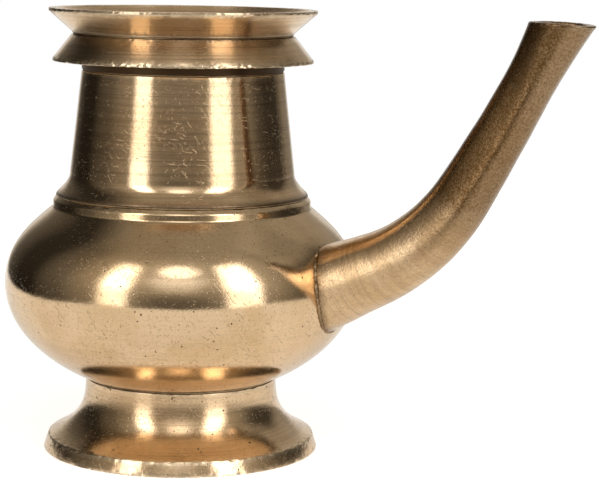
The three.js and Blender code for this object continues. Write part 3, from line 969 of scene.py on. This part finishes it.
@dataclass
class Belly(Turning):
    """The round bowl that closes in to a collar at the shoulder."""

    boss_radius: float = 24.2
    boss_wall: float = 3.5
    boss_depth: float = 2.5
    seat_rise: float = 0.5
    seat_radius: float = 30.8
    widest: float = 53.5
    wall: float = 2.2
    floor: float = 2.5
    lower_swell: float = 17.2
    upper_swell: float = 13.0
    underside: float = 7.8
    underside_rise: float = 3.4
    shoulder: float = 5.5
    shoulder_drop: float = 4.9
    collar_height: float = 3.4
    collar_radius: float = 41.0
    collar_lean: float = 0.1
    collar_band: float = 2.0
    collar_top_radius: float = 39.8
    mouth: float = 35.1

    def side(self, pen: Outline) -> None:
        """Draws the outer face from the seat up to the collar.

        Args:
            pen: The outline, which stands on the seat's edge.
        """
        bottom, top = self.height()
        seat = bottom + self.boss_depth + self.seat_rise
        collar = top - self.collar_height
        widest = self.radius()
        pen.curve((self.seat_radius + self.underside, seat + self.underside_rise),
                  (widest, self.widest - self.lower_swell), (widest, self.widest))
        pen.curve((widest, self.widest + self.upper_swell),
                  (self.collar_radius + self.shoulder, collar - self.shoulder_drop),
                  (self.collar_radius, collar), rounding=0.35)

    def outline(self) -> Outline:
        """Floor with its boss, outer face, collar, mouth and the hollow inside."""
        bottom, top = self.height()
        under = bottom + self.boss_depth
        seat = under + self.seat_rise
        boss_bore = self.boss_radius - self.boss_wall
        inside = self.radius() - self.wall
        mouth_bottom = top - self.collar_height - self.wall
        collar_top = top - self.collar_height + self.collar_band
        pen = Outline((0, under), step=1.4)
        pen.line((boss_bore, under), (boss_bore, bottom), (self.boss_radius, bottom),
                 (self.boss_radius, seat))
        pen.line((self.seat_radius, seat), rounding=0.1, grime=1.0)
        self.side(pen)
        pen.line((self.collar_radius - self.collar_lean, collar_top), rounding=0.35)
        pen.line((self.collar_top_radius, top), rounding=0.12, wear=0.5)
        pen.line((self.mouth, top), (self.mouth, mouth_bottom))
        pen.curve((self.collar_radius + self.shoulder - self.wall, mouth_bottom),
                  (inside, self.widest + self.upper_swell - self.wall / 2), (inside, self.widest))
        pen.curve((inside, self.widest - self.lower_swell),
                  (self.seat_radius + self.underside, under + self.floor), (0, under + self.floor))
        return pen

    @cached_property
    def face(self) -> list[Vector]:
        """Points of the outer face, from the seat up, in metres."""
        bottom, _ = self.height()
        pen = Outline((self.seat_radius, bottom + self.boss_depth + self.seat_rise))
        self.side(pen)
        return [point * MM for run in pen.runs for point in run]

    def radius_at(self, height: float) -> float:
        """The outer face's radius at a height.

        Args:
            height: Height above the floor, in metres.

        Returns:
            The radius, in metres.
        """
        for low, high in zip(self.face, self.face[1:]):
            if low.y <= height <= high.y and high.y > low.y:
                return low.lerp(high, (height - low.y) / (high.y - low.y)).x
        return self.face[-1].x


@dataclass
class Foot(Turning):
    """The hollow pedestal that stands on a ring."""

    sides: int = 360
    ring_width: float = 5.5
    rim_height: float = 4.6
    rim_lean: float = 1.5
    spread: float = 11.0
    spread_rise: float = 4.9
    waist_radius: float = 30.5
    upright: float = 7.8
    socket_radius: float = 24.5
    ledge: float = 2.8
    wall: float = 2.5

    def outline(self) -> Outline:
        """Ring, rim, cove up to the seat, socket and the hollow underneath."""
        bottom, top = self.height()
        foot = self.radius()
        ring = foot - self.ring_width
        rim = foot - self.rim_lean
        hollow = top - self.ledge
        inside = self.waist_radius - self.wall
        pen = Outline((ring, bottom), step=0.8, rounding=0.3)
        pen.line((foot, bottom), rounding=0.35, wear=1.0)
        pen.line((rim, bottom + self.rim_height), rounding=0.3, wear=0.9)
        pen.curve((rim - self.spread, bottom + self.rim_height + self.spread_rise),
                  (self.waist_radius, top - self.upright), (self.waist_radius, top), rounding=0.1, wear=0.4)
        pen.line((self.socket_radius, top), (self.socket_radius, hollow), (inside, hollow))
        pen.curve((inside, hollow - self.upright),
                  (ring - self.spread + self.wall, bottom + self.spread_rise + self.wall), (ring, bottom))
        return pen


@dataclass
class Filler(Turning):
    """A ring of brazing filler between two seats.

    Args:
        bore: The ring's inner radius.
    """

    bore: float = 30.0

    def outline(self) -> Outline:
        """A flat ring with a round edge."""
        bottom, top = self.height()
        edge = self.radius()
        pen = Outline((self.bore, bottom), step=2.0)
        pen.line((edge, bottom), rounding=0.15)
        pen.line((edge, top), rounding=0.15)
        pen.line((self.bore, top), (self.bore, bottom))
        return pen


@dataclass
class Spout(Part):
    """The cast tube that leaves the belly, bends upwards and ends in a slight trumpet.

    Distances run along its centre line. Angles round it are from its upper side, and those of its run are
    above level.

    Args:
        belly: The bowl that it grows from.
    """

    belly: Belly
    root_inset: float = 11.9
    root_drop: float = 1.0
    root_angle: float = 23.6
    straight: float = 25.5
    bend_radius: float = 64.4
    bend_end: float = 58.2
    upper: float = 58.7
    tip_angle: float = 63.6
    root_radius: float = 13.6
    throat_radius: float = 7.2
    trumpet: float = 1.6
    trumpet_length: float = 24.6
    wall: float = 1.9
    tip_tilt: float = 2.8
    # Reach of the darkening at the root: grime at the joint, and painted shade that dims the tube there.
    root_grime: float = 3.0
    inner_grime: float = 1.06
    inner_ease: float = 1.5
    outer_grime: float = 0.82
    outer_ease: float = 3.0
    inner_edge: float = 122.0
    inner_blend: float = 12.0
    side_flat: float = 84.0
    flat_depth: float = 0.86
    flat_sharpness: float = 15.0
    flat_start: float = 1.6
    flat_fade: float = 22.0
    flat_left: float = 0.3
    rod_reach: float = 1.8
    rod_taper: float = 0.85
    rod_sides: int = 96
    sides: int = 128
    rows: int = 150
    root_tries: int = 22
    handwork: Handwork = Handwork(wave=0.22 * MM, wave_size=8 * MM, nick=0.16 * MM)

    @cached_property
    def runs(self) -> tuple[Pair, ...]:
        """Length and turn, in radians, of the centre line's three runs."""
        bend = math.radians(self.bend_end - self.root_angle)
        upper = math.radians(self.tip_angle - self.bend_end)
        return (self.straight, 0.0), (self.bend_radius * bend, bend), (self.upper, upper)

    @cached_property
    def length(self) -> float:
        """Length of the centre line."""
        return sum(length for length, _ in self.runs)

    @staticmethod
    def run(start: Vector, heading: float, length: float, turn: float) -> Vector:
        """The end of a run of constant curvature.

        Args:
            start: Where it starts.
            heading: Its heading there, in radians.
            length: Its length.
            turn: How far it turns, in radians.

        Returns:
            Where it ends.
        """
        chord = length if turn == 0 else length * math.sin(turn / 2) / (turn / 2)
        return start + chord * Vector((math.cos(heading + turn / 2), math.sin(heading + turn / 2)))

    def centre(self, distance: float) -> tuple[Vector, float]:
        """The centre line at a distance along it.

        Args:
            distance: The distance, which may run past either end.

        Returns:
            The place across and up from the pot's axis on the floor, and the heading in radians.
        """
        place = Vector((self.belly.radius() - self.root_inset, self.belly.widest - self.root_drop))
        heading = math.radians(self.root_angle)
        for length, turn in self.runs:
            part = min(distance, length)
            place = self.run(place, heading, part, turn * part / length)
            heading += turn * part / length
            distance -= part
            if distance <= 0:
                return place, heading
        return self.run(place, heading, distance, 0.0), heading

    def radius(self, distance: float) -> float:
        """The outer radius at a distance along the centre line.

        Args:
            distance: The distance.

        Returns:
            The radius.
        """
        left = held(1 - distance / self.length)
        opening = max(0.0, distance - self.length + self.trumpet_length) / self.trumpet_length
        taper = (self.root_radius - self.throat_radius) * left * left
        return self.throat_radius + taper + self.trumpet * opening * opening

    def flattened(self, distance: float, angle: float) -> float:
        """How far hand filing has flattened the two sides of the round section.

        Args:
            distance: The distance.
            angle: The angle round it, in radians.

        Returns:
            The filed radius as a share of the round one.
        """
        total = 1.0
        for flat in (self.side_flat, -self.side_flat):
            facing = math.cos(angle - math.radians(flat)) / self.flat_depth
            total += max(0.0, facing) ** self.flat_sharpness
        share = held(distance / self.length * self.flat_start)
        share *= held((self.length - distance) / self.flat_fade, self.flat_left)
        return 1 + share * (total ** (-1 / self.flat_sharpness) - 1)

    def tarnish(self, distance: float, angle: float) -> float:
        """How brown the tube is, least on the outer side, where hands rub it.

        Args:
            distance: The distance.
            angle: The angle round it, in radians.

        Returns:
            The share of brown, from 0.
        """
        bend, _ = self.runs[1]
        reached = held((distance - self.straight) / bend)
        inner = held(0.5 + (self.inner_edge - abs(math.degrees(angle))) / self.inner_blend)
        brown = inner * self.inner_grime * reached**self.inner_ease
        return brown + (1 - inner) * self.outer_grime * reached**self.outer_ease

    def surface(self, distance: float, angle: float, radius: float) -> Vector:
        """A point round the centre line.

        Args:
            distance: The distance.
            angle: The angle round it, in radians.
            radius: The distance out from it.

        Returns:
            The point in the pot's frame, in metres.
        """
        place, heading = self.centre(distance)
        across = radius * math.cos(angle)
        x = place.x - across * math.sin(heading)
        z = place.y + across * math.cos(heading)
        return Vector((x * MM + AXIS_X, radius * math.sin(angle) * MM, z * MM))

    def root(self, angle: float, inset: float = 0.0) -> float:
        """How far along the centre line the tube leaves the belly's outer face.

        Args:
            angle: The angle round it, in radians.
            inset: How far inside the tube's outer face the point lies.

        Returns:
            The distance along the centre line.
        """
        inside, outside = 0.0, self.length / 2
        for _ in range(self.root_tries):
            distance = (inside + outside) / 2
            point = self.surface(distance, angle, self.radius(distance) - inset)
            if math.hypot(point.x - AXIS_X, point.y) < self.belly.radius_at(point.z):
                inside = distance
            else:
                outside = distance
        return distance

    def outline(self) -> Outline:
        """Outer face, lip and bore of the straightened tube, as distance out and distance along."""
        bore = self.root_radius - self.wall
        pen = Outline((self.root_radius, 0.0), step=self.length / self.rows, rounding=0.4)
        pen.line((self.root_radius, self.length), rounding=0.45, wear=1.0)
        pen.line((bore, self.length), rounding=0.5, wear=0.6)
        pen.line((bore, 0.0), rounding=0.3)
        pen.line((self.root_radius, 0.0))
        return pen

    def build(self) -> Piece:
        """Turns the straight tube, then bends it between its saddle and its slanting tip."""
        bm = bmesh.new()
        spun(bm, wired(bm, self.outline(), lambda p: Vector((p.x, 0, p.y))), 0, self.sides)
        saddles: dict[tuple[int, bool], float] = {}
        straight = bm.verts.layers.float_vector["straight"]
        grime_and_shade_level = bm.verts.layers.float["grime_and_shade_level"]
        slant = math.tan(math.radians(self.tip_angle + self.tip_tilt))
        for vert in bm.verts:
            angle = math.atan2(vert.co.y, vert.co.x)
            inset = self.root_radius - math.hypot(vert.co.x, vert.co.y) / MM
            share = vert.co.z / MM / self.length
            key = (round(angle * self.sides / math.tau), inset > self.wall / 2)
            if key not in saddles:
                saddles[key] = self.root(angle, self.wall if key[1] else 0.0)
            end = self.length - (self.radius(self.length) - inset) * math.cos(angle) / slant
            distance = saddles[key] + (end - saddles[key]) * share
            radius = self.radius(distance) * self.flattened(distance, angle) - inset
            vert.co = self.surface(distance, angle, radius)
            vert[straight] = Vector((radius * math.cos(angle), radius * math.sin(angle), distance)) * MM
            # Grime at the root that also paints shade on the tube near the joint.
            root_grime = 1 - (distance - saddles[key]) / self.root_grime
            vert[grime_and_shade_level] = max(0.0, root_grime, self.tarnish(distance, angle))
        self.handwork.apply(bm)
        return finished(bm, self.name)

    def bore_rod(self) -> Piece:
        """A rod of the bore's size at the root, for piercing the belly."""
        bm = bmesh.new()
        low, high = [self.surface(self.root_radius * share, 0, 0) for share in (-1, self.rod_reach)]
        bore = (self.root_radius - self.wall) * MM
        bmesh.ops.create_cone(bm, cap_ends=True, segments=self.rod_sides, radius1=bore,
                              radius2=bore * self.rod_taper, depth=(high - low).length)
        turn = (high - low).to_track_quat("Z", "Y").to_matrix().to_4x4()
        bmesh.ops.transform(bm, verts=bm.verts, matrix=Matrix.Translation((low + high) / 2) @ turn)
        return finished(bm, "bore_rod")


@dataclass
class Bead(Part):
    """The rough bead of filler round the spout's root.

    Args:
        spout: The spout that it seals.
        thickness: The bead's radius.
        coarse: Height and size of its coarse lumps.
        fine: Height and size of its fine lumps.
        thinnest: The least share of its radius that the lumps leave.
        steps: How many sections it has.
        sides: How many sides each has.
    """

    spout: Spout
    thickness: float = 0.42
    coarse: Pair = (1.0, 1.3)
    fine: Pair = (0.6, 0.455)
    thinnest: float = 0.2
    steps: int = 320
    sides: int = 16

    def build(self) -> Piece:
        """Turns a round section into a ring and lays it along the joint."""
        bm = bmesh.new()
        centre = self.spout.root_radius * MM
        circle = bmesh.ops.create_circle(bm, cap_ends=False, segments=self.sides, radius=self.thickness * MM)
        turn = Matrix.Translation((centre, 0, 0)) @ Matrix.Rotation(math.pi / 2, 4, "X")
        bmesh.ops.transform(bm, verts=circle["verts"], matrix=turn)
        spun(bm, bm.verts[:] + bm.edges[:], 0, self.steps)
        heading = math.radians(self.spout.root_angle)
        forward = Vector((math.cos(heading), 0, math.sin(heading)))
        up = Vector((-math.sin(heading), 0, math.cos(heading)))
        joints: dict[int, Vector] = {}
        straight = bm.verts.layers.float_vector.new("straight")
        for vert in bm.verts:
            angle = math.atan2(vert.co.y, vert.co.x)
            vert[straight] = vert.co.copy()
            key = round(angle * self.steps / math.tau)
            if key not in joints:
                distance = self.spout.root(angle)
                joints[key] = self.spout.surface(distance, angle, self.spout.radius(distance))
            joint = joints[key]
            out = math.hypot(vert.co.x, vert.co.y) - centre
            offset = (up * math.cos(angle) + Vector((0, math.sin(angle), 0))) * out + forward * vert.co.z
            rough = 1.0
            for place, (height, size) in ((joint, self.coarse), (joint + offset, self.fine)):
                rough += height * noise.noise(place / (size * MM))
            vert.co = joint + offset * max(self.thinnest, rough)
        return finished(bm, self.name)


def pierce(piece: Piece, tool: Piece) -> None:
    """Cuts one piece's shape out of another for good.

    Args:
        piece: The piece that is cut.
        tool: The shape that is taken away, which is deleted.
    """
    cut = piece.modifiers.new("pierced", "BOOLEAN")
    cut.operation = "DIFFERENCE"
    cut.solver = "EXACT"
    cut.object = tool
    evaluated = piece.evaluated_get(bpy.context.evaluated_depsgraph_get())
    mesh = bpy.data.meshes.new_from_object(evaluated)
    piece.modifiers.remove(cut)
    piece.data = mesh
    bpy.data.objects.remove(tool)


# The stage

WALLS = {-180: 1.0, -161: 1.0, -155: 0.35, -150: 0.14, -142: 0.09, -136: 0.06, -130: 0.03, -110: 0.03,
         -104: 0.07, -96: 0.12, -82: 0.17, -72: 0.3, -62: 0.4, -34: 0.45, -26: 0.4, -18: 0.26, -10: 0.21,
         4: 0.21, 16: 0.23, 28: 0.4, 60: 0.5, 70: 0.42, 80: 0.28, 92: 0.12, 104: 0.06, 126: 0.06, 136: 0.25,
         142: 0.35, 160: 0.4, 167: 1.0, 180: 1.0}
WALL_RISE = {-20: 0.6, 0: 0.7, 8: 0.85, 18: 1.0, 30: 1.1, 50: 1.1, 90: 1.0}
FRONT_GLOW = {-20: 0.0, 4: 0.0, 16: 0.17, 24: 0.35, 32: 0.7, 38: 0.55, 46: 0.4, 90: 0.3}
WHITE = (1.0, 1.0, 1.0)


@dataclass(frozen=True)
class Window:
    """A soft-edged lit window of directions.

    Args:
        azimuth: Its left and right edge.
        elevation: Its lower and upper edge.
        level: Its brightness, where 1 is white.
        edge: Width of its soft edge.
        oval: Whether it is an oval instead of a rectangle.
    """

    azimuth: Pair
    elevation: Pair
    level: float
    edge: float = 6.0
    oval: bool = False

    OVAL_EDGE = (1.5, 0.5)

    def light(self, tree: Tree, azimuth: Socket, elevation: Socket) -> Socket:
        """The window's brightness in a direction.

        Args:
            tree: The world's tree.
            azimuth: The direction's azimuth.
            elevation: Its elevation.

        Returns:
            The brightness.
        """
        sides = ((azimuth, self.azimuth), (elevation, self.elevation))
        if self.oval:
            far = [tree.maths("DIVIDE", tree.maths("SUBTRACT", angle, (low + high) / 2), (high - low) / 2)
                   for angle, (low, high) in sides]
            return tree.times(self.level, tree.spread(tree.squared(*far), *self.OVAL_EDGE))
        share = self.level
        half = self.edge / 2
        for angle, (low, high) in sides:
            share = tree.times(share, tree.spread(angle, low - half, low + half))
            share = tree.times(share, tree.spread(angle, high + half, high - half))
        return share


class Lamp(Enum):
    """The lit windows that the metal mirrors."""

    LEFT = Window((-51, -32.5), (-8, 52), 2.1)
    LEFT_UPPER = Window((-50, -33), (17, 46), 2.0, edge=14.0)
    RIGHT = Window((33, 56), (-8, 54), 2.1)
    RIGHT_UPPER = Window((34, 55), (17, 48), 2.2, edge=14.0)
    TOP = Window((-14, 16), (39, 56), 1.9, oval=True)
    FRONT_LOW = Window((-13, 13), (16, 40), 0.35, edge=14.0)
    RIGHT_HAZE = Window((84, 136), (32, 66), 0.24, edge=14.0)


@dataclass
class Studio:
    """Camera, table and the room that the metal mirrors.

    Azimuths are degrees round the pot from the camera, to the right of it where they are positive. Places
    are metres to the right of the pot's axis and away from the camera. The focal length is in pixels.
    """

    turn: float = 27.0
    distance: float = 0.640
    aside: float = 0.03746
    eye: float = 0.1579
    pitch: float = 8.07
    roll: float = 0.9
    focal: float = 2026.0
    image_width: float = 599.0
    sensor: float = 36.0
    nearest: float = 0.05
    table_sides: Pair = (-0.37, 0.68)
    table_ends: Pair = (-0.40, 0.75)
    table_colour: Colour = (0.86, 0.85, 0.83)
    table_seen: float = 0.62
    table_mirrored: float = 0.4
    front_edge: Pair = (32.0, 14.0)
    ceiling: float = 0.36
    ceiling_edge: Pair = (50.0, 74.0)
    dim_tint: Colour = (1.0, 0.93, 0.8)
    bright_tint: Colour = (1.0, 1.0, 0.99)
    tint_levels: Pair = (0.35, 1.1)

    def turned(self) -> Matrix:
        """The turn from the camera's side about the pot's axis."""
        return Matrix.Translation((AXIS_X, 0, 0)) @ Matrix.Rotation(math.radians(self.turn), 4, "Z")

    def camera(self) -> None:
        """Sets up the photograph's camera."""
        data = bpy.data.cameras.new("camera")
        data.sensor_width = self.sensor
        data.lens = self.focal * self.sensor / self.image_width
        data.clip_start = self.nearest
        camera = bpy.data.objects.new("camera", data)
        place = Matrix.Translation((self.aside, -self.distance, self.eye))
        pitch = Matrix.Rotation(math.radians(90 - self.pitch), 4, "X")
        roll = Matrix.Rotation(math.radians(self.roll), 4, "Z")
        camera.matrix_world = self.turned() @ place @ pitch @ roll
        bpy.context.scene.collection.objects.link(camera)
        bpy.context.scene.camera = camera

    def table(self) -> None:
        """The pale table top: its front and left edges show in the belly."""
        bm = bmesh.new()
        bmesh.ops.create_grid(bm, x_segments=1, y_segments=1, size=0.5)
        (left, right), (front, back) = self.table_sides, self.table_ends
        size = Matrix.Diagonal((right - left, back - front, 1, 1))
        place = Matrix.Translation(((left + right) / 2, (front + back) / 2, 0))
        bmesh.ops.transform(bm, verts=bm.verts, matrix=self.turned() @ place @ size)
        table = finished(bm, "table")
        made = bpy.data.materials.new("table_white")
        tree = Tree.of(made)
        ray = tree.add("ShaderNodeLightPath")
        matt = tree.add("ShaderNodeBsdfDiffuse", {"Color": self.table_colour})
        glow = tree.layered(0.0, (ray.outputs[Ray.CAMERA.value], self.table_seen),
                            (ray.outputs[Ray.GLOSSY.value], self.table_mirrored))
        lift = tree.add("ShaderNodeEmission", {"Color": WHITE, "Strength": glow})
        both = tree.add("ShaderNodeAddShader", {0: matt.outputs[0], 1: lift.outputs[0]})
        tree.add("ShaderNodeOutputMaterial", {0: both.outputs[0]})
        table.data.materials.append(made)

    def room(self) -> None:
        """The world: a white backdrop behind the pot and a dim room round the camera."""
        world = bpy.data.worlds.new("room")
        bpy.context.scene.world = world
        tree = Tree.of(world)
        direction = tree.add("ShaderNodeTexCoord").outputs["Generated"]
        x, y, z = tree.parted(tree.turned(direction, -math.radians(self.turn)))
        azimuth = tree.maths("DEGREES", tree.maths("ARCTAN2", x, tree.times(y, -1.0)))
        elevation = tree.maths("DEGREES", tree.maths("ARCSINE", z))
        walls = tree.times(self.ramp(tree, azimuth, WALLS), self.ramp(tree, elevation, WALL_RISE))
        ahead = tree.spread(tree.maths("ABSOLUTE", azimuth), *self.front_edge)
        walls = tree.layered(walls, (self.ramp(tree, elevation, FRONT_GLOW), ahead))
        overhead = tree.spread(elevation, *self.ceiling_edge)
        below = tree.maths("SUBTRACT", 1.0, overhead)
        level = tree.layered(0.0, (walls, below), (overhead, self.ceiling))
        for lamp in Lamp:
            level = tree.maths("ADD", level, lamp.value.light(tree, azimuth, elevation))
        tint = tree.blend(tree.spread(level, *self.tint_levels), self.dim_tint, self.bright_tint)
        ray = tree.add("ShaderNodeLightPath")
        dim = tree.add("ShaderNodeBackground", {"Color": tint, "Strength": level})
        white = tree.add("ShaderNodeBackground", {"Color": WHITE, "Strength": 1.0})
        seen = ray.outputs[Ray.CAMERA.value]
        mix = tree.add("ShaderNodeMixShader", {0: seen, 1: dim.outputs[0], 2: white.outputs[0]})
        tree.add("ShaderNodeOutputWorld", {0: mix.outputs[0]})

    @staticmethod
    def ramp(tree: Tree, angle: Socket, levels: dict[float, float]) -> Socket:
        """A brightness that follows an angle.

        Args:
            tree: The world's tree.
            angle: The angle.
            levels: Brightness by angle, lowest angle first.

        Returns:
            The brightness.
        """
        low, high = min(levels), max(levels)
        node = tree.add("ShaderNodeValToRGB", {0: tree.spread(angle, low, high, smooth=False)})
        stops = node.color_ramp.elements
        peak = max(levels.values())
        for index, (degrees, level) in enumerate(levels.items()):
            stop = stops[index] if index < len(stops) else stops.new(1.0)
            stop.position = (degrees - low) / (high - low)
            stop.color = (level / peak, level / peak, level / peak, 1.0)
        return tree.times(node.outputs[0], peak)

    def build(self) -> None:
        """Sets up everything that isn't the pot."""
        self.camera()
        self.table()
        self.room()


def dress(piece: Piece, node: str, material: bpy.types.Material) -> None:
    """Gives a piece its finish and its place in the frame.

    Args:
        piece: The piece.
        node: The node that it stands for.
        material: Its finish.
    """
    piece.data.materials.clear()
    piece.data.materials.append(material)
    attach(piece, BODY)
    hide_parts(node)
    log.info("%s stands for %s", piece.name, node)


def main() -> None:
    """Builds the stage and the pot."""
    logging.basicConfig(level=logging.INFO, format="%(name)s: %(message)s")
    scene = bpy.context.scene
    scene.view_settings.view_transform = "Standard"
    Studio().build()
    effects = Effects.built()
    finishes = {finish: finish.value.material(effects) for finish in Finish}
    belly = Belly("belly_bowl", "belly", Slot.POLISHED, Finish.BELLY)
    spout = Spout("spout_casting", "spout", Slot.CAST, Finish.CAST, belly)
    parts = [
        MouthCone("mouth_lip", "mouth_cone", Slot.TURNED, Finish.LIP),
        DripFlange("drip_ring", "drip_flange", Slot.TURNED, Finish.FLANGE),
        Neck("neck_tube", "neck", Slot.POLISHED, Finish.NECK),
        belly,
        Foot("foot_pedestal", "foot", Slot.TURNED, Finish.FOOT),
        Filler("waist_filler", "waist_braze", Slot.FILLER, Finish.FILLER, bore=DripFlange.socket_radius),
        Filler("neck_filler", "neck_braze", Slot.FILLER, Finish.FILLER, bore=Neck.socket_radius),
        Filler("shoulder_filler", "shoulder_braze", Slot.FILLER, Finish.FILLER, bore=Belly.mouth),
        Filler("foot_filler", "foot_braze", Slot.FILLER, Finish.FILLER, bore=Foot.socket_radius),
        spout,
        Bead("spout_bead", "spout_braze", Slot.FILLER, Finish.FILLER, spout),
    ]
    for part in parts:
        piece = part.build()
        if part is belly:
            pierce(piece, spout.bore_rod())
        dress(piece, part.node, finishes[part.finish])


if __name__ == "__main__":
    main()
